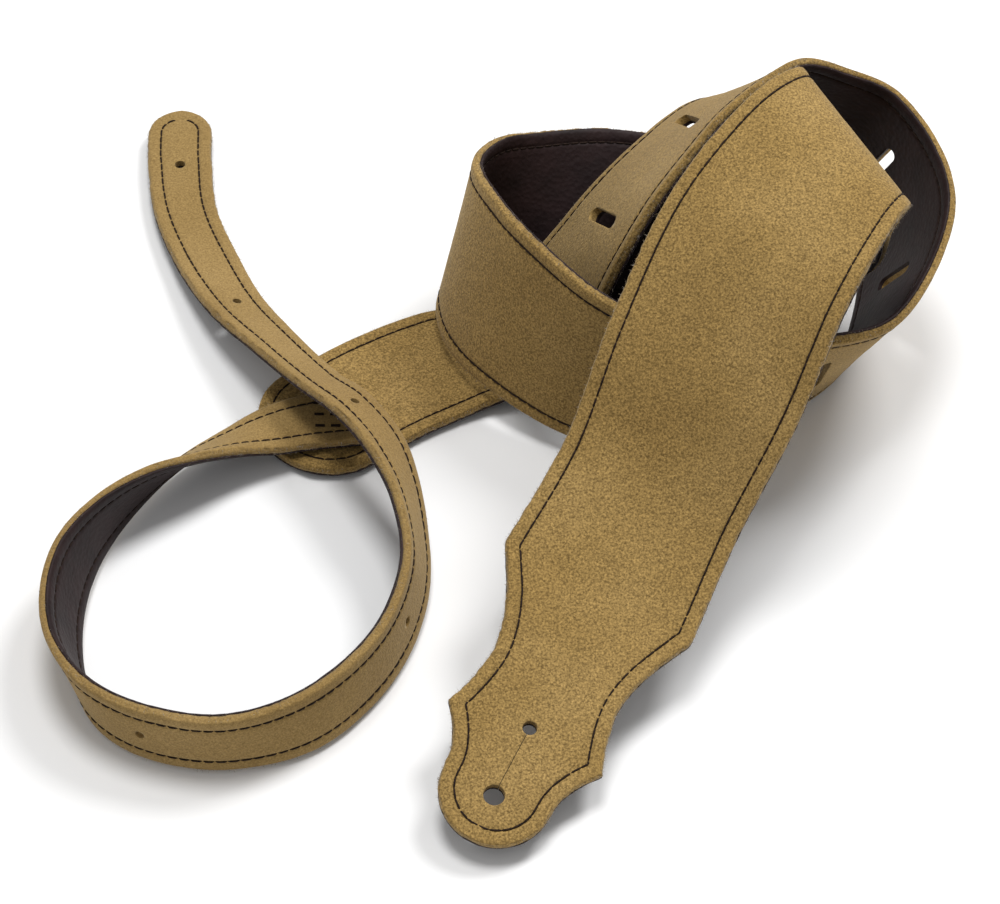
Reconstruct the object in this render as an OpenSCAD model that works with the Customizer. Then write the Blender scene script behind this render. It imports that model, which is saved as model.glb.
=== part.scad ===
/* [Strap body] */
// Half width of the wide body
body_half = 30; // [28:1:32]
// Thickness of the suede face
face_t = 1.6; // [1.0:0.1:2.0]
// Thickness of the bonded core between face and lining
core_t = 0.8; // [0.5:0.1:1.2]
// Thickness of the dark leather lining
lining_t = 1.2; // [0.8:0.1:1.6]
// Distance of the stitch row from the cut edge
stitch_inset = 4.5; // [3.5:0.5:6]
// Diameter of the sewing thread
thread_d = 0.8; // [0.6:0.1:1.0]

/* [Front end] */
// Length of the shaped front end, from the tip to its shoulders
front_len = 89; // [86:1:92]
// Radius of the strap-button hole in the front end
button_r = 3.2; // [2.5:0.1:4]
// Radius of the relief hole at the end of the slit
relief_r = 2.2; // [1.5:0.1:3]

/* [Adjusting slots] */
// Length of each slot, across the body
slot_len = 24; // [20:1:26]
// Width of each slot, along the body
slot_w = 4.5; // [4:0.5:7]

/* [Adjusting tail] */
// Radius of the button hole at the free end of the tail
tail_hole_r = 1.8; // [1.5:0.1:3]

/* [Hidden] */
$fn = 48;
suede = "#a5844f";
leather = "#2c1f20";
board = "#8f8578";
thread = "#2a1c14";

// The shaped front end lies in one plane: its tip, heading, slope and sideways tilt
front_tip = [-8.5, -156.5, 7];
front_heading = 63;
front_slope = 12;
front_tilt = 11;
hole_at = 15;        // button hole, from the tip
relief_at = 38.5;      // relief hole, from the tip
// Outline of the front end, as [distance from the tip, half width] at the points where it turns
tip_r = 17;             // the tip is an arc of this radius
neck = [19, 17];
ear = [35.5, 25];
waist = [56, 20.5];
band_start = [78, 27];
flare_power = 1.7;      // how late each flare opens out
// The corners where the front end meets the band: the left one lies further up and further out
shoulder_skew = 3.5;
left_flare = 3;
right_flare = 0.5;
approach_gap = 25;      // from the corners back to the station that sets the band's direction there

// Stations along the rest of the body: a point on the left edge and one on the right edge.
// The strap climbs over the coil, folds over, runs back as the far wall, turns into the near wall,
// rounds the right loop, comes down through the ring as the slotted stretch and ends flat on the table.
body_route = [
    [[20, -36, 46], [71, -66, 34]],
    [[34, -10, 72], [88, -46, 62]],
    [[52, 20, 95], [102, -24, 88]],
    [[75, 48, 107], [116, 0, 97]],
    [[92, 67, 104], [124, 17, 92]],
    [[93, 72, 90], [122, 31, 68]],
    [[92, 80, 70], [120, 48, 34]],
    [[80, 92, 54], [98, 62, 10]],
    [[57, 103, 44], [76, 66, 2]],
    [[34, 105, 45], [46, 67, 0]],
    [[14, 100, 48], [18, 70, 0]],
    [[0, 90, 54], [-6, 76, 2]],
    [[-7, 72, 60], [-19, 62, 8]],
    [[0, 50, 64], [-17, 41, 8]],
    [[12, 30, 65], [-3, 20, 9]],
    [[31, 9, 63], [23, 3, 5]],
    [[55, -4, 60], [53, -1, 0]],
    [[80, -8, 60], [78, 8, 0]],
    [[103, -6, 59], [98, 22, 0]],
    [[122, 5, 55], [112, 38, 0]],
    [[136, 27, 56], [119, 58, 2]],
    [[144, 51, 62], [122, 76, 6]],
    [[141, 73, 66], [119, 92, 12]],
    [[129, 92, 72], [108, 106, 18]],
    [[112, 95, 79], [95, 115, 24]],
    [[98, 90, 87], [82, 120, 35]],
    [[86, 76, 92], [72, 116, 46]],
    [[71, 58, 93], [62, 106, 53]],
    [[59, 43, 88], [48, 93, 51]],
    [[48, 33, 77], [33, 83, 41]],
    [[38, 25, 60], [19, 75, 26]],
    [[27, 20, 33], [4, 67, 11]],
    [[13, 23, 9], [-11, 63, 3]],
    [[-7, 16, 3], [-28, 59, 2]],
    [[-25, 6, 2], [-50, 47, 2]],
    [[-42, -7, 2], [-70, 32, 2]]];
lobe_len = 22;       // length of the rounded rear end past the last station

// Stations along the narrow tail, from its sewn foot on the rear end to its free end
tail_route = [
    [[-42, -2, 7], [-46, 20, 7]],
    [[-58, -4, 7], [-62, 18, 7]],
    [[-71, -8, 9], [-76, 13, 6]],
    [[-83, -13, 14], [-88, 6, 3]],
    [[-96, -22, 21], [-100, -5, 3]],
    [[-110, -30, 24], [-111, -18, 2]],
    [[-124, -42, 25], [-121, -35, 1]],
    [[-134, -58, 25], [-127, -53, 1]],
    [[-137, -77, 24], [-129, -72, 1]],
    [[-133, -96, 24], [-127, -91, 0]],
    [[-121, -112, 24], [-120, -109, 0]],
    [[-102, -122, 24], [-104, -121, 0]],
    [[-79, -125, 24], [-80, -125, 0]],
    [[-56, -115, 24], [-54, -117, 0]],
    [[-37, -93, 24], [-34, -94, 0]],
    [[-29, -66, 24], [-24, -65, 1]],
    [[-32, -44, 27], [-24, -37, 6]],
    [[-40, -27, 30], [-30, -12, 15]],
    [[-51, -9, 28], [-42, 7, 18]],
    [[-65, 9, 23], [-53, 22, 12]],
    [[-81, 31, 17], [-67, 43, 8]],
    [[-96, 53, 11], [-80, 65, 4]],
    [[-109, 79, 6], [-90, 88, 3]],
    [[-119, 107, 4], [-98, 110, 3]],
    [[-123, 132, 4], [-101, 132, 4]],
    [[-124, 147, 4], [-102, 147, 4]]];
tail_tip_len = 11;

slots_at = [18, 20.3, 22.4, 24.2, 27.4, 29.5];   // station numbers along body_route
tail_holes_at = [10.9, 14.5, 18, 21];
tail_button_at = 23.9;
small_hole_r = 1.5;

// Stitches through the tail's foot: where they start, how long they are and the height of the foot
join_columns = [-44, -49, -54, -59];
join_rows = [3, 8, 13];
join_slant = 0.1;
join_stitch = 3;
join_height = 7;

slit_w = 0.8;
cut_reach = 6;           // how far a cutter reaches either side of the middle of the thickness

steps = 3;
core_inset = 2;          // the core stops this far short of the cut edge
total_t = face_t + core_t + lining_t;
// Brings the middle of the base under the origin and the lowest edge down to z = 0
place = [-3.6, 0.6, 1.4];

// ---- Small vector helpers ----
function unit(v) = v / norm(v);
function clampi(i, n) = min(max(i, 0), n - 1);
function curve(p, u) =
    let (n = len(p), i = min(floor(u), n - 2), f = u - i,
         a = p[clampi(i - 1, n)], b = p[i], c = p[i + 1], d = p[clampi(i + 2, n)])
    0.5 * (2 * b + (c - a) * f + (2 * a - 5 * b + 4 * c - d) * f * f + (3 * b - a - 3 * c + d) * f * f * f);

// ---- The flat front end's frame ----
front_t = [cos(front_slope) * cos(front_heading), cos(front_slope) * sin(front_heading), sin(front_slope)];
front_side = [-sin(front_heading), cos(front_heading), 0];
front_w = cos(front_tilt) * front_side + sin(front_tilt) * cross(front_t, front_side);
front_n = cross(front_t, front_w);
function front_point(s, across) = front_tip + s * front_t + across * front_w;

// ---- Rings: [centre, unit vector to the left edge, unit normal on the suede side, half width] ----
function front_station(s) = [front_point(s, body_half + left_flare),
                             front_point(s - shoulder_skew, -body_half - right_flare)];
body_pts = concat([front_station(front_len - approach_gap), front_station(front_len)], body_route);
function edge(pts, side) = [for (p = pts) p[side]];
function ring_at(left, right, u) =
    let (l = curve(left, u), r = curve(right, u), h = 0.05,
         n = len(left), ua = max(u - h, 0), ub = min(u + h, n - 1.0001),
         t = (curve(left, ub) + curve(right, ub)) - (curve(left, ua) + curve(right, ua)),
         w = unit(l - r))
    [(l + r) / 2, w, unit(cross(t, w)), norm(l - r) / 2];
body_left = edge(body_pts, 0);
body_right = edge(body_pts, 1);
tail_left = edge(tail_route, 0);
tail_right = edge(tail_route, 1);
function swept(left, right, first) =
    [for (k = [first * steps : (len(left) - 1) * steps]) ring_at(left, right, min(k / steps, len(left) - 1.0001))];
// A rounded end past the last ring, flat in that ring's plane
function rounded(last, dir, length) =
    [for (a = [15 : 15 : 75])
        [last[0] + dir * length * sin(a), last[1], last[2], last[3] * cos(a)]];
function heading_of(r) = unit(cross(r[1], r[2]));
// Points on a flare that leaves the narrow end straight and reaches the wide end at a slope
function flare(narrow, wide, parts) = [for (f = parts) [narrow[0] + (wide[0] - narrow[0]) * f,
                                                        narrow[1] + (wide[1] - narrow[1]) * pow(f, flare_power)]];
front_outline = concat([for (a = [10 : 16 : 90]) [tip_r * (1 - cos(a)), tip_r * sin(a)]],
                       flare(neck, ear, [0 : 0.25 : 1]), flare(waist, ear, [0.8 : -0.2 : 0]),
                       flare(waist, band_start, [0.25 : 0.25 : 1]));
front_rings = [for (o = front_outline) [front_point(o[0], 0), front_w, front_n, o[1]]];
body_sweep = swept(body_left, body_right, 1);
body_end = body_sweep[len(body_sweep) - 1];
body_rings = concat(front_rings, body_sweep, rounded(body_end, heading_of(body_end), lobe_len));
tail_sweep = swept(tail_left, tail_right, 0);
tail_end = tail_sweep[len(tail_sweep) - 1];
tail_rings = concat(tail_sweep, rounded(tail_end, heading_of(tail_end), tail_tip_len));

// ---- One layer: a closed solid swept through the rings, between two heights above the lining's back ----
module layer(rings, low, high, inset = 0) {
    n = len(rings);
    points = [for (r = rings)
        let (h = max(r[3] - inset, 0.6), base = low - total_t / 2, top = high - total_t / 2)
        each [r[0] + r[1] * h + r[2] * top, r[0] - r[1] * h + r[2] * top,
              r[0] - r[1] * h + r[2] * base, r[0] + r[1] * h + r[2] * base]];
    sides = [for (i = [0 : n - 2], k = [0 : 3])
        let (a = 4 * i + k, b = 4 * i + (k + 1) % 4, c = a + 4, d = b + 4)
        each [[a, c, b], [b, c, d]]];
    polyhedron(points, concat([[0, 1, 2], [0, 2, 3]], sides,
                              [[4 * n - 4, 4 * n - 2, 4 * n - 3], [4 * n - 4, 4 * n - 1, 4 * n - 2]]));
}

// Puts its children at a ring, X along the strap, Y towards the left edge, Z out of the suede
module at_ring(r) {
    x = heading_of(r);
    y = r[1];
    z = r[2];
    c = r[0];
    multmatrix([[x.x, y.x, z.x, c.x], [x.y, y.y, z.y, c.y], [x.z, y.z, z.z, c.z], [0, 0, 0, 1]]) children();
}

module punch(radius) {
    translate([0, 0, -cut_reach]) cylinder(h = 2 * cut_reach, r = radius);
}

module slot_cutter() {
    for (side = [-1, 1])
        translate([0, side * (slot_len - slot_w) / 2, -cut_reach]) cylinder(h = 2 * cut_reach, d = slot_w);
    translate([-slot_w / 2, -(slot_len - slot_w) / 2, -cut_reach])
        cube([slot_w, slot_len - slot_w, 2 * cut_reach]);
}

module body_cutters() {
    for (s = slots_at) at_ring(ring_at(body_left, body_right, s + 2)) slot_cutter();
    at_ring([front_point(hole_at, 0), front_w, front_n]) punch(button_r);
    at_ring([front_point(relief_at, 0), front_w, front_n]) punch(relief_r);
    at_ring([front_point(hole_at, 0), front_w, front_n])
        translate([0, -slit_w / 2, -cut_reach]) cube([relief_at - hole_at, slit_w, 2 * cut_reach]);
}

module tail_cutters() {
    at_ring(ring_at(tail_left, tail_right, tail_button_at)) punch(tail_hole_r);
    for (s = tail_holes_at) at_ring(ring_at(tail_left, tail_right, s)) punch(small_hole_r);
}

// ---- Threads: a thin strand laid on a surface along a row set in from the edge ----
module strand(rings, side, height, out) {
    n = len(rings);
    r = thread_d / 2;
    points = [for (g = rings)
        let (c = g[0] + g[1] * side * max(g[3] - stitch_inset, 0.8) + g[2] * (height - total_t / 2))
        each [c + g[1] * r, c - g[1] * r, c - g[1] * r + g[2] * out * r, c + g[1] * r + g[2] * out * r]];
    turn = out > 0 ? [[0, 1, 2, 3]] : [[0, 3, 2, 1]];
    order = turn[0];
    sides = [for (i = [0 : n - 2], k = [0 : 3])
        let (a = 4 * i + order[k], b = 4 * i + order[(k + 1) % 4], c = a + 4, d = b + 4)
        each [[a, b, c], [b, d, c]]];
    last = 4 * n - 4;
    polyhedron(points, concat([[order[2], order[1], order[0]], [order[3], order[2], order[0]]], sides,
        [[last + order[0], last + order[1], last + order[2]], [last + order[0], last + order[2], last + order[3]]]));
}

module body_suede_face() {
    color(suede) translate(place) difference() {
        layer(body_rings, lining_t + core_t, total_t);
        body_cutters();
    }
}

module body_core() {
    color(board) translate(place) difference() {
        layer(body_rings, lining_t, lining_t + core_t, core_inset);
        body_cutters();
    }
}

module body_leather_lining() {
    color(leather) translate(place) difference() {
        layer(body_rings, 0, lining_t);
        body_cutters();
    }
}

module tail_suede_face() {
    color(suede) translate(place) difference() {
        layer(tail_rings, lining_t + core_t, total_t);
        tail_cutters();
    }
}

module tail_core() {
    color(board) translate(place) difference() {
        layer(tail_rings, lining_t, lining_t + core_t, core_inset);
        tail_cutters();
    }
}

module tail_leather_lining() {
    color(leather) translate(place) difference() {
        layer(tail_rings, 0, lining_t);
        tail_cutters();
    }
}

module edge_rows(rings) {
    for (side = [-1, 1]) {
        strand(rings, side, total_t, 1);
        strand(rings, side, 0, -1);
    }
}

module body_edge_stitching() {
    color(thread) translate(place) edge_rows([for (i = [3 : len(body_rings) - 3]) body_rings[i]]);
}

module tail_edge_stitching() {
    color(thread) translate(place) edge_rows([for (i = [1 : len(tail_rings) - 3]) tail_rings[i]]);
}

// Rows of short stitches that hold the tail's foot down on the rear end
module tail_join_stitching() {
    color(thread) translate(place)
        for (x = join_columns, y = join_rows)
            translate([x - join_slant * y, y, join_height + total_t / 2]) cube([join_stitch, thread_d, thread_d / 2]);
}

body_suede_face();
body_core();
body_leather_lining();
tail_suede_face();
tail_core();
tail_leather_lining();
body_edge_stitching();
tail_edge_stitching();
tail_join_stitching();
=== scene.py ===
import math
import bpy
import bmesh
import numpy as np
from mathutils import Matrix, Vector


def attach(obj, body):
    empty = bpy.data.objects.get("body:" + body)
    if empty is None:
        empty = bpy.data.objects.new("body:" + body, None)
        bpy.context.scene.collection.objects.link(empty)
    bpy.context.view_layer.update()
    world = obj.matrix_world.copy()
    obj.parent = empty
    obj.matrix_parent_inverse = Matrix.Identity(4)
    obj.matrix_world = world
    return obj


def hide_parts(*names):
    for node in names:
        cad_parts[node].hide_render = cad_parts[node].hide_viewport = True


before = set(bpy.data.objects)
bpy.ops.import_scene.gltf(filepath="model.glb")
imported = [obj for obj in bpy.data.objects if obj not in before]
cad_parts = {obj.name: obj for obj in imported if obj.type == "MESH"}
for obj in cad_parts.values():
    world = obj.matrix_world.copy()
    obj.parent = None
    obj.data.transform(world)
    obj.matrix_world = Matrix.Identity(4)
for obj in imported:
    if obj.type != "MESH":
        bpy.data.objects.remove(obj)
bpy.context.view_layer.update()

rng = np.random.default_rng(7)
MM = 0.001

# ---------------------------------------------------------------- sizes in millimetres, as in the CAD model
PLACE = np.array([-3.6, 0.6, 1.4])
BODY_HALF = 30.0
FACE_T, CORE_T, LINING_T = 1.6, 0.8, 1.2
TOTAL_T = FACE_T + CORE_T + LINING_T
STITCH_INSET = 4.5
FRONT_LEN = 89.0
SHOULDER_SKEW, LEFT_FLARE, RIGHT_FLARE, APPROACH_GAP = 3.5, 3.0, 0.5, 25.0
BUTTON_R, RELIEF_R, TAIL_HOLE_R, SMALL_HOLE_R = 3.2, 2.2, 1.8, 1.5
HOLE_AT, RELIEF_AT = 15.0, 38.5
SLOT_LEN, SLOT_W = 24.0, 4.5
FRONT_TIP = np.array([-8.5, -156.5, 7.0])
HEADING, SLOPE, TILT = (math.radians(a) for a in (63.0, 12.0, 11.0))
LOBE_LEN, TAIL_TIP_LEN = 22.0, 11.0
SLOTS_AT = [18, 20.3, 22.4, 24.2, 27.4, 29.5]
TAIL_HOLES_AT = [10.9, 14.5, 18, 21]
TAIL_BUTTON_AT = 23.9
# Outline of the front end: an arc at the tip, then (distance from the tip, half width) where it turns
TIP_R = 17.0
NECK, EAR, WAIST, BAND_START = (19.0, 17.0), (35.5, 25.0), (56.0, 20.5), (78.0, 27.0)
FLARE_POWER = 1.7
# Stations along the strap: a point on the left edge and one on the right edge
BODY_ROUTE = [
    [[20, -36, 46], [71, -66, 34]],
    [[34, -10, 72], [88, -46, 62]],
    [[52, 20, 95], [102, -24, 88]],
    [[75, 48, 107], [116, 0, 97]],
    [[92, 67, 104], [124, 17, 92]],
    [[93, 72, 90], [122, 31, 68]],
    [[92, 80, 70], [120, 48, 34]],
    [[80, 92, 54], [98, 62, 10]],
    [[57, 103, 44], [76, 66, 2]],
    [[34, 105, 45], [46, 67, 0]],
    [[14, 100, 48], [18, 70, 0]],
    [[0, 90, 54], [-6, 76, 2]],
    [[-7, 72, 60], [-19, 62, 8]],
    [[0, 50, 64], [-17, 41, 8]],
    [[12, 30, 65], [-3, 20, 9]],
    [[31, 9, 63], [23, 3, 5]],
    [[55, -4, 60], [53, -1, 0]],
    [[80, -8, 60], [78, 8, 0]],
    [[103, -6, 59], [98, 22, 0]],
    [[122, 5, 55], [112, 38, 0]],
    [[136, 27, 56], [119, 58, 2]],
    [[144, 51, 62], [122, 76, 6]],
    [[141, 73, 66], [119, 92, 12]],
    [[129, 92, 72], [108, 106, 18]],
    [[112, 95, 79], [95, 115, 24]],
    [[98, 90, 87], [82, 120, 35]],
    [[86, 76, 92], [72, 116, 46]],
    [[71, 58, 93], [62, 106, 53]],
    [[59, 43, 88], [48, 93, 51]],
    [[48, 33, 77], [33, 83, 41]],
    [[38, 25, 60], [19, 75, 26]],
    [[27, 20, 33], [4, 67, 11]],
    [[13, 23, 9], [-11, 63, 3]],
    [[-7, 16, 3], [-28, 59, 2]],
    [[-25, 6, 2], [-50, 47, 2]],
    [[-42, -7, 2], [-70, 32, 2]]]
TAIL_ROUTE = [
    [[-42, -2, 7], [-46, 20, 7]],
    [[-58, -4, 7], [-62, 18, 7]],
    [[-71, -8, 9], [-76, 13, 6]],
    [[-83, -13, 14], [-88, 6, 3]],
    [[-96, -22, 21], [-100, -5, 3]],
    [[-110, -30, 24], [-111, -18, 2]],
    [[-124, -42, 25], [-121, -35, 1]],
    [[-134, -58, 25], [-127, -53, 1]],
    [[-137, -77, 24], [-129, -72, 1]],
    [[-133, -96, 24], [-127, -91, 0]],
    [[-121, -112, 24], [-120, -109, 0]],
    [[-102, -122, 24], [-104, -121, 0]],
    [[-79, -125, 24], [-80, -125, 0]],
    [[-56, -115, 24], [-54, -117, 0]],
    [[-37, -93, 24], [-34, -94, 0]],
    [[-29, -66, 24], [-24, -65, 1]],
    [[-32, -44, 27], [-24, -37, 6]],
    [[-40, -27, 30], [-30, -12, 15]],
    [[-51, -9, 28], [-42, 7, 18]],
    [[-65, 9, 23], [-53, 22, 12]],
    [[-81, 31, 17], [-67, 43, 8]],
    [[-96, 53, 11], [-80, 65, 4]],
    [[-109, 79, 6], [-90, 88, 3]],
    [[-119, 107, 4], [-98, 110, 3]],
    [[-123, 132, 4], [-101, 132, 4]],
    [[-124, 147, 4], [-102, 147, 4]]]


# ---------------------------------------------------------------- the strap's surface
def unit(v):
    return v / np.linalg.norm(v)


def curve(points, u):
    """Catmull-Rom point at u, in stations."""
    n = len(points)
    i = min(int(u), n - 2)
    f = u - i
    a, b, c, d = (points[min(max(k, 0), n - 1)] for k in (i - 1, i, i + 1, i + 2))
    square, cube = 2 * a - 5 * b + 4 * c - d, 3 * b - a - 3 * c + d
    return 0.5 * (2 * b + (c - a) * f + square * f ** 2 + cube * f ** 3)


# The front end's plane: along its length, across it towards the left edge, and out of the suede
FRONT_T = np.array([math.cos(SLOPE) * math.cos(HEADING), math.cos(SLOPE) * math.sin(HEADING),
                    math.sin(SLOPE)])
SIDE = np.array([-math.sin(HEADING), math.cos(HEADING), 0.0])
FRONT_W = math.cos(TILT) * SIDE + math.sin(TILT) * np.cross(FRONT_T, SIDE)
FRONT_N = np.cross(FRONT_T, FRONT_W)


def front_point(s, across):
    return FRONT_TIP + s * FRONT_T + across * FRONT_W


def ring_at(pts, u):
    """(centre, unit vector to the left edge, unit normal out of the suede, half width) at u, in stations."""
    left, right = pts[:, 0], pts[:, 1]
    l, r = curve(left, u), curve(right, u)
    ua, ub = max(u - 0.05, 0), min(u + 0.05, len(pts) - 1.0001)
    t = curve(left, ub) + curve(right, ub) - curve(left, ua) - curve(right, ua)
    w = unit(l - r)
    return (l + r) / 2, w, unit(np.cross(t, w)), np.linalg.norm(l - r) / 2


def front_station(s):
    """The corners where the front end meets the band, slightly askew."""
    return [front_point(s, BODY_HALF + LEFT_FLARE), front_point(s - SHOULDER_SKEW, -BODY_HALF - RIGHT_FLARE)]


BODY_PTS = np.array([front_station(FRONT_LEN - APPROACH_GAP), front_station(FRONT_LEN)] + BODY_ROUTE, float)
TAIL_PTS = np.array(TAIL_ROUTE, float)
STEPS = 22          # rings in each gap between stations
MIN_HALF = 0.8      # half width at which a round end stops
RING_GAP = 0.9      # distance between the rings of the front end


def end_rings(last, length):
    """A round end, flat in the last ring's plane."""
    c, w, n, h = last
    ahead = np.cross(w, n)
    return [(c + ahead * length * math.sin(a), w, n, max(h * math.cos(a), MIN_HALF))
            for a in np.radians(np.arange(4, 90, 4))]


def flare(narrow, wide, parts):
    """Points on a flare that leaves the narrow end straight and reaches the wide end at a slope."""
    return [(narrow[0] + (wide[0] - narrow[0]) * f, narrow[1] + (wide[1] - narrow[1]) * f ** FLARE_POWER)
            for f in parts]


def front_rings():
    """The front end's rings, and a few more that widen it to the corners where it meets the band."""
    tip = [(TIP_R * (1 - math.cos(a)), TIP_R * math.sin(a)) for a in np.radians(np.arange(10, 91, 4))]
    outline = tip + flare(NECK, EAR, np.linspace(0, 1, 13)) + flare(WAIST, EAR, np.linspace(0.95, 0, 16))
    outline += flare(WAIST, BAND_START, np.linspace(0.05, 1, 16))
    s_known, h_known = np.array(outline).T
    s = np.concatenate([s_known[:5], np.arange(s_known[5], s_known[-1] + 0.1, RING_GAP)])
    rings = [(front_point(x, 0), FRONT_W, FRONT_N, float(np.interp(x, s_known, h_known))) for x in s]
    start = [front_point(s_known[-1], side * h_known[-1]) for side in (1, -1)]
    for f in np.linspace(0, 1, 11)[1:-1]:
        left, right = (a * (1 - f) + b * f for a, b in zip(start, front_station(FRONT_LEN)))
        w = unit(left - right)
        rings.append(((left + right) / 2, w, FRONT_N, np.linalg.norm(left - right) / 2))
    return rings


def swept(pts, first):
    """Rings along the stations, from station number first to the last."""
    count = int((len(pts) - 1 - first) * STEPS)
    return [ring_at(pts, first + min(k / STEPS, len(pts) - 1.0001 - first)) for k in range(count + 1)]


body_sweep = swept(BODY_PTS, 1)
BODY_RINGS = front_rings() + body_sweep + end_rings(body_sweep[-1], LOBE_LEN)
tail_sweep = swept(TAIL_PTS, 0)
TAIL_RINGS = tail_sweep + end_rings(tail_sweep[-1], TAIL_TIP_LEN)


def flat_lengths(rings):
    c = np.array([r[0] for r in rings])
    return np.concatenate([[0], np.cumsum(np.linalg.norm(np.diff(c, axis=0), axis=1))])


PATH_SLACK = 0.25    # how much nearer than the inset a point may be to the cut edge
PATH_GAP = 0.4       # least distance between points of the row
CLOSE_REACH = 4      # a row that ends this near the middle line is carried to it


def inset_path(rings, inset):
    """The stitch row in the flat pattern, at a constant inset: (distance along, half distance across)."""
    s = flat_lengths(rings)
    h = np.array([r[3] for r in rings])
    ds, dh = np.gradient(s), np.gradient(h)
    size = np.hypot(ds, dh)
    path = np.stack([s + inset * dh / size, h - inset * ds / size], 1)
    edge = np.stack([s, h], 1)
    path = np.array([p for p in path if p[1] >= 0 and np.min(np.hypot(*(edge - p).T)) >= inset - PATH_SLACK])
    order = [0]
    for i in range(1, len(path)):
        if np.hypot(*(path[i] - path[order[-1]])) > PATH_GAP:
            order.append(i)
    path = path[order]
    # A row that ends near the middle line is carried to it, so that the two sides meet
    if path[0][1] < CLOSE_REACH:
        path = np.vstack([[path[0][0], 0.0], path])
    if path[-1][1] < CLOSE_REACH:
        path = np.vstack([path, [path[-1][0], 0.0]])
    return path


def place_on(rings, lengths, s, across, height):
    """The point at (s, across) of the flat pattern, at a height over mid-thickness, and the normal there."""
    i = int(np.clip(np.searchsorted(lengths, s) - 1, 0, len(rings) - 2))
    f = (s - lengths[i]) / max(lengths[i + 1] - lengths[i], 1e-6)
    a, b = rings[i], rings[i + 1]
    c, w, n = (a[k] * (1 - f) + b[k] * f for k in (0, 1, 2))
    w, n = unit(w), unit(n)
    return c + w * across + n * height, n


def smooth_noise(x, y, seed, cell):
    """Value noise on the flat pattern, from -1 to 1."""
    gx, gy = x / cell, y / cell
    ix, iy = np.floor(gx).astype(int), np.floor(gy).astype(int)
    fx, fy = gx - ix, gy - iy
    fx, fy = fx * fx * (3 - 2 * fx), fy * fy * (3 - 2 * fy)

    def value(i, j):
        k = (i * 73856093) ^ (j * 19349663) ^ (seed * 83492791)
        k = (k ^ (k >> 13)) * 1274126177 & 0x7FFFFFFF
        return k / 0x3FFFFFFF - 1

    top = value(ix, iy) * (1 - fx) + value(ix + 1, iy) * fx
    low = value(ix, iy + 1) * (1 - fx) + value(ix + 1, iy + 1) * fx
    return top * (1 - fy) + low * fy


# Distances from the cut edge that have a row of vertices, closest at the edge and around the seam
EDGE_STEPS = [0.0, 0.25, 0.7, 1.4, 2.3, 3.1, 3.7, 4.1, 4.5, 4.9, 5.3, 6.0, 7.2]
FULL_STEPS_HALF = 9.0    # below this half width the steps shrink with the strap


def columns(half, inner):
    """Distances from the left edge at which the skin has a row of vertices, over the whole width."""
    scale = min(1.0, half / FULL_STEPS_HALF)
    left = [half - d * scale for d in EDGE_STEPS]
    middle = list(np.linspace(left[-1], -left[-1], inner + 2))[1:-1]
    return np.array(left + middle + [-x for x in reversed(left)])


FAR = 99.0               # distance to the seam where none is near
SEAM_SEARCH = 4          # how far along the strap the seam is looked for
EDGE_ROUND = 0.45        # rounding of the cut edge
EDGE_DRAW_IN = 0.25      # how far the rounded corner is drawn in
EDGE_BULGE = 0.12        # how far the middle of the cut edge stands out
SWELL, SWELL_AT, SWELL_REACH = 0.12, 2.2, 1.3
GROOVE_REACH = 0.65


def add_object(name, mesh):
    obj = bpy.data.objects.new(name, mesh)
    bpy.context.scene.collection.objects.link(obj)
    return obj


def face_outwards(mesh, split_large=False):
    """Turns the faces outwards, shades them smooth and can split faces with more than four corners."""
    bm = bmesh.new()
    bm.from_mesh(mesh)
    bmesh.ops.recalc_face_normals(bm, faces=bm.faces)
    if split_large:
        bmesh.ops.triangulate(bm, faces=[f for f in bm.faces if len(f.verts) > 4])
    bm.to_mesh(mesh)
    bm.free()
    mesh.polygons.foreach_set("use_smooth", [True] * len(mesh.polygons))


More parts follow.
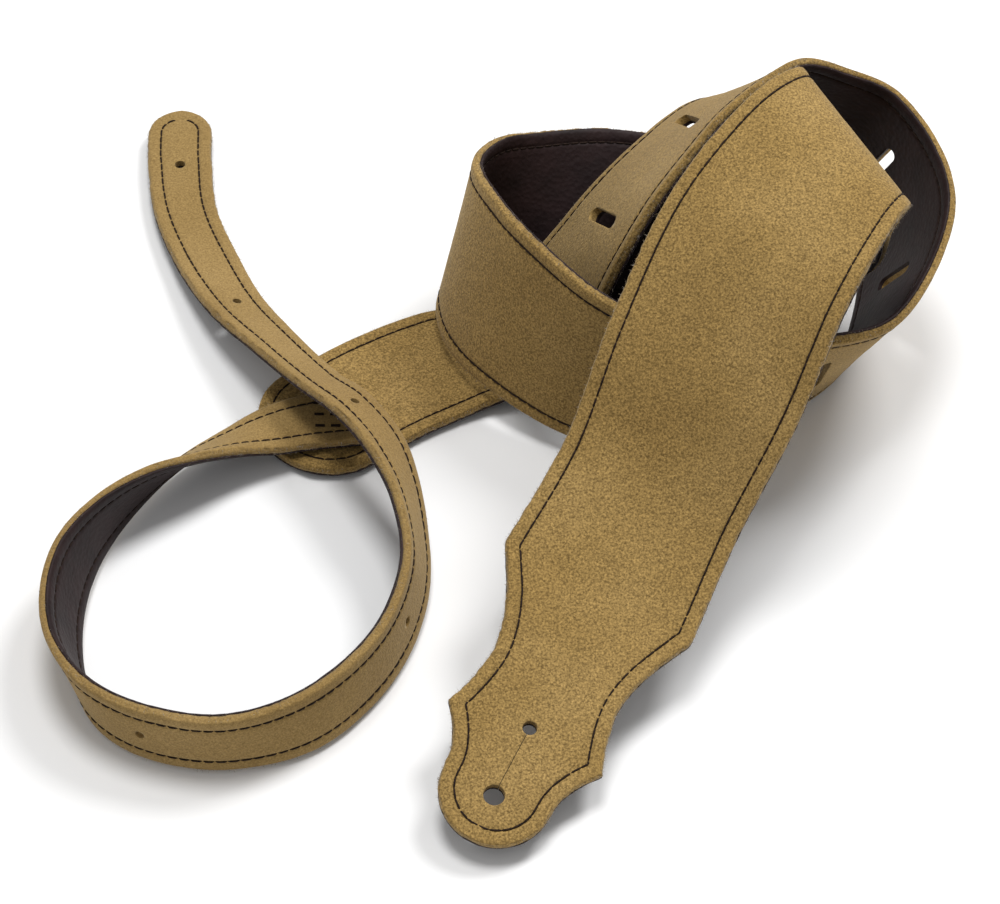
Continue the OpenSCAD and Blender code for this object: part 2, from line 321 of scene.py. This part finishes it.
def layer_mesh(name, rings, low, high, path, inner, groove_top, groove_low, seed, fuzz):
    """A closed layer between two heights: rounded cut edges, a seam groove and small unevenness."""
    lengths = flat_lengths(rings)
    flat_path = np.array([(p[0], side * p[1]) for side in (1, -1) for p in path])
    across = np.array([columns(r[3], inner) for r in rings])
    half = np.array([r[3] for r in rings])[:, None]
    s = np.repeat(lengths[:, None], across.shape[1], 1)
    near = np.full(s.shape, FAR)
    for i in range(len(rings)):
        close = flat_path[np.abs(flat_path[:, 0] - lengths[i]) < SEAM_SEARCH]
        if len(close):
            d = np.hypot(close[None, :, 0] - lengths[i], close[None, :, 1] - across[i][:, None])
            near[i] = d.min(1)
    from_edge = half - np.abs(across)
    rounding = EDGE_ROUND * np.exp(-(from_edge / EDGE_ROUND) ** 2)
    # The edge swells a little outside the seam, and the whole skin is slightly uneven
    swell = SWELL * np.exp(-((from_edge - SWELL_AT) / SWELL_REACH) ** 2)
    uneven = 0.10 * smooth_noise(s, across, seed, 9.0) + 0.05 * smooth_noise(s, across, seed + 1, 3.1)
    along, zero = s[:, :1], across[:, :1] * 0
    ragged = fuzz * (smooth_noise(along, zero, seed + 2, 1.7)
                     + 0.6 * smooth_noise(along, zero + 5, seed + 3, 0.9))
    ragged_low = fuzz * smooth_noise(along, zero, seed + 4, 1.3)
    groove = np.exp(-(near / GROOVE_REACH) ** 2)
    mid = TOTAL_T / 2
    # Only a layer's outer side has a groove, and only that side is rounded, swollen and uneven
    outer_top, outer_low = groove_top > 0, groove_low > 0
    z_top = high - mid - (rounding - swell) * outer_top - groove_top * groove + uneven * outer_top
    z_low = low - mid + (rounding - swell) * outer_low + groove_low * groove + uneven * 0.5 * outer_low
    centre = np.array([r[0] for r in rings])[:, None, :]
    w = np.array([r[1] for r in rings])[:, None, :]
    n = np.array([r[2] for r in rings])[:, None, :]
    shift_top = np.zeros_like(across)
    draw_in = EDGE_DRAW_IN * outer_top
    shift_top[:, 0], shift_top[:, -1] = ragged[:, 0] - draw_in, -ragged_low[:, 0] + draw_in
    shift_low = np.zeros_like(across)
    shift_low[:, 0], shift_low[:, -1] = ragged_low[:, 0], -ragged[:, 0]
    top = centre + w * (across + shift_top)[..., None] + n * z_top[..., None]
    bottom = centre + w * (across + shift_low)[..., None] + n * z_low[..., None]
    middle_height = n * ((high + low) / 2 - mid)
    middle_l = (centre + w * (half + EDGE_BULGE + ragged)[..., None] + middle_height)[:, 0]
    middle_r = (centre - w * (half + EDGE_BULGE + ragged_low)[..., None] + middle_height)[:, 0]
    loop = np.concatenate([top, middle_r[:, None], bottom[:, ::-1], middle_l[:, None]], 1)
    rows, m = loop.shape[:2]
    verts = (loop.reshape(-1, 3) + PLACE) * MM
    faces = []
    for i in range(rows - 1):
        a = i * m
        for k in range(m):
            k2 = (k + 1) % m
            faces.append((a + k, a + m + k, a + m + k2, a + k2))
    faces.append(tuple(range(m)))
    faces.append(tuple(reversed(range((rows - 1) * m, rows * m))))
    mesh = bpy.data.meshes.new(name)
    mesh.from_pydata(verts.tolist(), [], faces)
    mesh.update()
    face_outwards(mesh, split_large=True)
    return add_object(name, mesh)


# ---------------------------------------------------------------- slots and holes
CUT_DEPTH = 5.0      # how far a cutter reaches either side of the middle of the thickness


def prism(outline, ring):
    """A cutter: a flat outline of (along, across) points, pushed through the strap at a ring."""
    c, w, n, _ = ring
    ahead = np.cross(w, n)
    bm = bmesh.new()
    ends = []
    for z in (-CUT_DEPTH, CUT_DEPTH):
        ends.append([bm.verts.new((c + ahead * x + w * y + n * z + PLACE) * MM) for x, y in outline])
    bm.faces.new(list(reversed(ends[0])))
    bm.faces.new(ends[1])
    k = len(outline)
    for i in range(k):
        bm.faces.new((ends[0][i], ends[0][(i + 1) % k], ends[1][(i + 1) % k], ends[1][i]))
    bmesh.ops.recalc_face_normals(bm, faces=bm.faces)
    mesh = bpy.data.meshes.new("cutter")
    bm.to_mesh(mesh)
    bm.free()
    return add_object("cutter", mesh)


def circle(r, x=0.0, y=0.0, count=28):
    return [(x + r * math.cos(a), y + r * math.sin(a)) for a in np.linspace(0, 2 * math.pi, count + 1)[:-1]]


def slot_outline():
    r, reach = SLOT_W / 2, (SLOT_LEN - SLOT_W) / 2
    top = [(r * math.cos(a), reach + r * math.sin(a)) for a in np.linspace(0, math.pi, 13)]
    return top + [(-x, -y) for x, y in top]


def cut(obj, cutters):
    """Cuts every cutter out of the object, and keeps the result as its mesh."""
    for c in cutters:
        modifier = obj.modifiers.new("cut", "BOOLEAN")
        modifier.operation = "DIFFERENCE"
        modifier.solver = "EXACT"
        modifier.object = c
    graph = bpy.context.evaluated_depsgraph_get()
    cut_mesh = bpy.data.meshes.new_from_object(obj.evaluated_get(graph))
    obj.modifiers.clear()
    obj.data = cut_mesh


def front_ring(s):
    """A ring in the front end's plane to cut at. Only its half width isn't used."""
    return front_point(s, 0), FRONT_W, FRONT_N, TIP_R


SLIT_W = 0.2         # all but closed
SLIT_SHORT = 1.5     # how far each end of the slit stops short of its hole's middle
slit_half, slit_side = (RELIEF_AT - HOLE_AT) / 2 - SLIT_SHORT, SLIT_W / 2
slit_outline = [(-slit_half, -slit_side), (slit_half, -slit_side),
                (slit_half, slit_side), (-slit_half, slit_side)]
body_cutters = [prism(slot_outline(), ring_at(BODY_PTS, u + 2)) for u in SLOTS_AT]
body_cutters += [prism(circle(BUTTON_R), front_ring(HOLE_AT)), prism(circle(RELIEF_R), front_ring(RELIEF_AT)),
                 prism(slit_outline, front_ring((HOLE_AT + RELIEF_AT) / 2))]
tail_cutters = [prism(circle(TAIL_HOLE_R, count=20), ring_at(TAIL_PTS, TAIL_BUTTON_AT))]
tail_cutters += [prism(circle(SMALL_HOLE_R, count=16), ring_at(TAIL_PTS, u)) for u in TAIL_HOLES_AT]


# ---------------------------------------------------------------- stitches
THREAD_R = 0.32
THREAD_FLAT = 0.8        # a stitch is pressed to this share of its height
STITCH_POINTS = 6        # points along each stitch
STITCH_WOBBLE = 0.12
STITCH_SUNK = 0.12       # how far the middle of a stitch lies under the skin's height
STITCH_DIVE = 0.40       # how much deeper its ends go


def thread_run(name, rings, path, spacing, length, sides):
    """Separate lockstitches along the seam, on the suede side and on the lining side."""
    lengths = flat_lengths(rings)
    verts, faces = [], []
    steps = np.concatenate([[0], np.cumsum(np.hypot(*np.diff(path, axis=0).T))])
    total = steps[-1]
    for side, face in [(1, 1), (-1, 1), (1, -1), (-1, -1)]:
        at = spacing / 2
        while at < total - spacing / 2:
            wobble = rng.uniform(-STITCH_WOBBLE, STITCH_WOBBLE)
            span = length * rng.uniform(0.9, 1.08)
            centre_line = []
            for f in np.linspace(-0.5, 0.5, STITCH_POINTS):
                d = at + f * span
                s, a = (np.interp(d, steps, path[:, k]) for k in (0, 1))
                lift = (TOTAL_T / 2 - STITCH_SUNK - STITCH_DIVE * (2 * f) ** 6) * face
                centre_line.append(place_on(rings, lengths, s, side * a + wobble * (0.5 - abs(f)), lift))
            pts = [p for p, _ in centre_line]
            base = len(verts)
            for i, (p, n) in enumerate(centre_line):
                ahead = unit(pts[min(i + 1, STITCH_POINTS - 1)] - pts[max(i - 1, 0)])
                b = unit(np.cross(ahead, n))
                for k in range(sides):
                    turn = 2 * math.pi * k / sides
                    reach = b * math.cos(turn) + n * THREAD_FLAT * math.sin(turn)
                    verts.append((p + THREAD_R * reach + PLACE) * MM)
            for i in range(STITCH_POINTS - 1):
                for k in range(sides):
                    a0, a1 = base + i * sides + k, base + i * sides + (k + 1) % sides
                    faces.append((a0, a1, a1 + sides, a0 + sides))
            faces.append(tuple(base + k for k in reversed(range(sides))))
            faces.append(tuple(base + (STITCH_POINTS - 1) * sides + k for k in range(sides)))
            at += spacing
    mesh = bpy.data.meshes.new(name)
    mesh.from_pydata([tuple(v) for v in verts], [], faces)
    mesh.update()
    face_outwards(mesh)
    return add_object(name, mesh)


# ---------------------------------------------------------------- materials
def material(name):
    m = bpy.data.materials.new(name)
    m.use_nodes = True
    nodes, links = m.node_tree.nodes, m.node_tree.links
    return m, nodes, links, nodes["Principled BSDF"]


def noise(nodes, links, coords, scale, detail=4.0, rough=0.6):
    n = nodes.new("ShaderNodeTexNoise")
    n.inputs["Scale"].default_value = scale
    n.inputs["Detail"].default_value = detail
    n.inputs["Roughness"].default_value = rough
    links.new(coords, n.inputs["Vector"])
    return n.outputs["Fac"]


def ramp(nodes, links, source, stops):
    r = nodes.new("ShaderNodeValToRGB")
    while len(r.color_ramp.elements) < len(stops):
        r.color_ramp.elements.new(0.5)
    for element, (at, colour) in zip(r.color_ramp.elements, stops):
        element.position = at
        element.color = (*colour, 1)
    links.new(source, r.inputs["Fac"])
    return r.outputs["Color"]


def mix(nodes, links, kind, factor, a, b):
    m = nodes.new("ShaderNodeMix")
    m.data_type = "RGBA"
    m.blend_type = kind
    m.inputs["Factor"].default_value = factor
    links.new(a, m.inputs[6])
    links.new(b, m.inputs[7])
    return m.outputs[2]


def bump(nodes, links, height, strength, distance, under=None):
    b = nodes.new("ShaderNodeBump")
    b.inputs["Strength"].default_value = strength
    b.inputs["Distance"].default_value = distance
    links.new(height, b.inputs["Height"])
    if under is not None:
        links.new(under, b.inputs["Normal"])
    return b.outputs["Normal"]


def suede_material(name, dark, middle, light, speckle, sparkle):
    """Napped suede: mottled honey tone, fine short nap, faint sheen."""
    m, nodes, links, shader = material(name)
    where = nodes.new("ShaderNodeTexCoord").outputs["Object"]
    broad = ramp(nodes, links, noise(nodes, links, where, 24, 2.5, 0.5),
                 [(0.30, dark), (0.50, middle), (0.72, light)])
    grain = ramp(nodes, links, noise(nodes, links, where, 1450, 2.5, 0.65),
                 [(0.34, (speckle, 0.97 * speckle, 0.92 * speckle)), (0.52, (0.95, 0.95, 0.94)),
                  (0.68, (sparkle,) * 3)])
    nap = ramp(nodes, links, noise(nodes, links, where, 2100, 2, 0.5),
               [(0.30, (0.72, 0.70, 0.66)), (0.70, (1.16, 1.15, 1.12))])
    colour = mix(nodes, links, "MULTIPLY", 1.0, broad, grain)
    colour = mix(nodes, links, "MULTIPLY", 0.8, colour, nap)
    links.new(colour, shader.inputs["Base Color"])
    coarse = bump(nodes, links, noise(nodes, links, where, 700, 3, 0.65), 0.55, 0.0005)
    fine = bump(nodes, links, noise(nodes, links, where, 2400, 2, 0.5), 0.5, 0.0002, coarse)
    links.new(fine, shader.inputs["Normal"])
    shader.inputs["Roughness"].default_value = 0.95
    shader.inputs["Specular IOR Level"].default_value = 0.12
    shader.inputs["Sheen Weight"].default_value = 0.22
    shader.inputs["Sheen Roughness"].default_value = 0.45
    shader.inputs["Sheen Tint"].default_value = (0.95, 0.82, 0.60, 1)
    return m


def lining_material():
    """Dark brown garment leather with a pebbled grain."""
    m, nodes, links, shader = material("lining_leather")
    where = nodes.new("ShaderNodeTexCoord").outputs["Object"]
    cells = nodes.new("ShaderNodeTexVoronoi")
    cells.inputs["Scale"].default_value = 620
    links.new(where, cells.inputs["Vector"])
    tone = ramp(nodes, links, noise(nodes, links, where, 90, 4, 0.6),
                [(0.3, (0.012, 0.006, 0.006)), (0.7, (0.026, 0.013, 0.013))])
    links.new(tone, shader.inputs["Base Color"])
    grain = bump(nodes, links, cells.outputs["Distance"], 0.35, 0.0004)
    creased = bump(nodes, links, noise(nodes, links, where, 260, 4, 0.6), 0.4, 0.0005, grain)
    links.new(creased, shader.inputs["Normal"])
    shader.inputs["Roughness"].default_value = 0.62
    shader.inputs["Specular IOR Level"].default_value = 0.22
    return m


def thread_material():
    m, nodes, links, shader = material("waxed_thread")
    where = nodes.new("ShaderNodeTexCoord").outputs["Object"]
    tone = ramp(nodes, links, noise(nodes, links, where, 1500, 2, 0.5),
                [(0.35, (0.008, 0.004, 0.003)), (0.7, (0.030, 0.016, 0.010))])
    links.new(tone, shader.inputs["Base Color"])
    shader.inputs["Roughness"].default_value = 0.75
    shader.inputs["Specular IOR Level"].default_value = 0.15
    return m


def fibre_material():
    m, nodes, links, shader = material("cut_fibres")
    where = nodes.new("ShaderNodeTexCoord").outputs["Object"]
    tone = ramp(nodes, links, noise(nodes, links, where, 500, 2, 0.5),
                [(0.40, (0.20, 0.14, 0.07)), (0.62, (0.42, 0.38, 0.32))])
    links.new(tone, shader.inputs["Base Color"])
    shader.inputs["Roughness"].default_value = 0.9
    return m


SUEDE = suede_material(
    "honey_suede", (0.265, 0.168, 0.055), (0.300, 0.194, 0.066), (0.345, 0.228, 0.084), 0.48, 1.36)
TAIL_SUEDE = suede_material(
    "smooth_suede", (0.272, 0.176, 0.064), (0.300, 0.198, 0.074), (0.335, 0.224, 0.088), 0.76, 1.12)
LINING = lining_material()
THREAD = thread_material()
FIBRE = fibre_material()


# ---------------------------------------------------------------- loose fibres along the cut edges
FIBRE_LONG, FIBRE_THICK = (0.3, 1.1), (0.035, 0.07)
FIBRE_TURNS = (0, 2.094, 4.189)      # a fibre has three sides


def fibres(name, rings, count, seed):
    """Short curved hairs that stand out of the cut suede edge."""
    r = np.random.default_rng(seed)
    lengths = flat_lengths(rings)
    verts, faces = [], []
    for _ in range(count):
        i = int(r.integers(2, len(rings) - 2))
        c, w, n, h = rings[i]
        side = 1 if r.random() < 0.5 else -1
        ahead = np.cross(w, n)
        root = c + w * side * (h - 0.1) + n * (r.uniform(LINING_T * 0.6, TOTAL_T - 0.3) - TOTAL_T / 2)
        out = unit(w * side + ahead * r.uniform(-0.9, 0.9) + n * r.uniform(-0.5, 0.6))
        bend = unit(ahead * r.uniform(-1, 1) + n * r.uniform(-1, 1))
        long = r.uniform(*FIBRE_LONG)
        thick = r.uniform(*FIBRE_THICK)
        base = len(verts)
        for k, f in enumerate((0.0, 0.5, 1.0)):
            p = root + out * long * f + bend * long * 0.5 * f * f
            size = thick * (1 - 0.7 * f)
            for turn in FIBRE_TURNS:
                reach = bend * math.cos(turn) + np.cross(out, bend) * math.sin(turn)
                verts.append((p + size * reach + PLACE) * MM)
        for k in range(2):
            for j in range(3):
                a0, a1 = base + 3 * k + j, base + 3 * k + (j + 1) % 3
                faces.append((a0, a1, a1 + 3, a0 + 3))
        faces.append((base + 2, base + 1, base))
        faces.append((base + 6, base + 7, base + 8))
    mesh = bpy.data.meshes.new(name)
    mesh.from_pydata([tuple(v) for v in verts], [], faces)
    mesh.update()
    return add_object(name, mesh)


def finish_piece(obj, mat, slot, *nodes):
    obj.data.materials.clear()
    obj.data.materials.append(mat)
    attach(obj, "root")
    if nodes:
        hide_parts(*nodes)


body_path = inset_path(BODY_RINGS, STITCH_INSET)
tail_path = inset_path(TAIL_RINGS, STITCH_INSET)
BODY_INNER, TAIL_INNER = 22, 5       # rows of vertices between the two edges' steps
STITCH_SPACING, THREAD_SIDES = 3.5, 5
body_suede = layer_mesh("body_suede", BODY_RINGS, LINING_T, TOTAL_T, body_path, BODY_INNER,
                        0.42, 0.0, 11, 0.22)
cut(body_suede, body_cutters)
finish_piece(body_suede, SUEDE, "suede", "body_suede_face", "body_core")
body_lining = layer_mesh("body_lining", BODY_RINGS, 0.0, LINING_T, body_path, BODY_INNER,
                         0.0, 0.35, 23, 0.10)
cut(body_lining, body_cutters)
finish_piece(body_lining, LINING, "lining", "body_leather_lining")
tail_suede = layer_mesh("tail_suede", TAIL_RINGS, LINING_T, TOTAL_T, tail_path, TAIL_INNER,
                        0.38, 0.0, 31, 0.18)
cut(tail_suede, tail_cutters)
finish_piece(tail_suede, TAIL_SUEDE, "suede", "tail_suede_face", "tail_core")
tail_lining = layer_mesh("tail_lining", TAIL_RINGS, 0.0, LINING_T, tail_path, TAIL_INNER,
                         0.0, 0.30, 43, 0.10)
cut(tail_lining, tail_cutters)
finish_piece(tail_lining, LINING, "lining", "tail_leather_lining")
for c in body_cutters + tail_cutters:
    bpy.data.objects.remove(c, do_unlink=True)

body_stitches = thread_run("body_stitches", BODY_RINGS, body_path, STITCH_SPACING, 3.6, THREAD_SIDES)
finish_piece(body_stitches, THREAD, "thread", "body_edge_stitching")
tail_stitches = thread_run("tail_stitches", TAIL_RINGS, tail_path, STITCH_SPACING, 3.2, THREAD_SIDES)
finish_piece(tail_stitches, THREAD, "thread", "tail_edge_stitching")
body_fuzz = fibres("body_edge_fibres", BODY_RINGS, 9000, 5)
finish_piece(body_fuzz, FIBRE, "suede")
tail_fuzz = fibres("tail_edge_fibres", TAIL_RINGS, 4200, 6)
finish_piece(tail_fuzz, FIBRE, "suede")
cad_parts["tail_join_stitching"].data.materials.clear()
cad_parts["tail_join_stitching"].data.materials.append(THREAD)

# ---------------------------------------------------------------- floor, lights and camera
floor_mesh = bpy.data.meshes.new("floor")
FLOOR = 6                # half the floor's side, in metres
floor_mesh.from_pydata([(-FLOOR, -FLOOR, 0), (FLOOR, -FLOOR, 0), (FLOOR, FLOOR, 0), (-FLOOR, FLOOR, 0)], [],
                       [(0, 1, 2, 3)])
floor = add_object("floor", floor_mesh)
floor_mat, _, _, floor_shader = material("pale_floor")
floor_shader.inputs["Base Color"].default_value = (0.86, 0.86, 0.86, 1)
floor_shader.inputs["Roughness"].default_value = 0.9
floor_mesh.materials.append(floor_mat)


def area_light(name, where, size, power):
    lamp = bpy.data.lights.new(name, "AREA")
    lamp.shape = "DISK"
    lamp.size = size
    lamp.energy = power
    obj = add_object(name, lamp)
    obj.location = where
    obj.rotation_euler = (Vector((0, 0, 0)) - Vector(where)).to_track_quat("-Z", "Y").to_euler()


area_light("key", (0.8, 0.75, 1.5), 0.6, 18)
area_light("overhead", (-0.05, 0.25, 1.9), 0.7, 20)
world = bpy.data.worlds.new("studio")
world.use_nodes = True
world.node_tree.nodes["Background"].inputs["Color"].default_value = (1, 1, 1, 1)
world.node_tree.nodes["Background"].inputs["Strength"].default_value = 0.46
bpy.context.scene.world = world
bpy.context.scene.view_settings.view_transform = "Standard"

ELEVATION, DISTANCE = math.radians(48), 1.0
PIXELS_PER_MM, IMAGE_W, SENSOR_W = 3.1, 1000, 36
camera_data = bpy.data.cameras.new("camera")
camera_data.sensor_width = SENSOR_W
camera_data.lens = SENSOR_W * PIXELS_PER_MM * DISTANCE / MM / IMAGE_W
camera = add_object("camera", camera_data)
target = Vector(PLACE * MM)
camera.location = target + Vector((0, -math.cos(ELEVATION), math.sin(ELEVATION))) * DISTANCE
camera.rotation_euler = (math.pi / 2 - ELEVATION, 0, 0)
bpy.context.scene.camera = camera
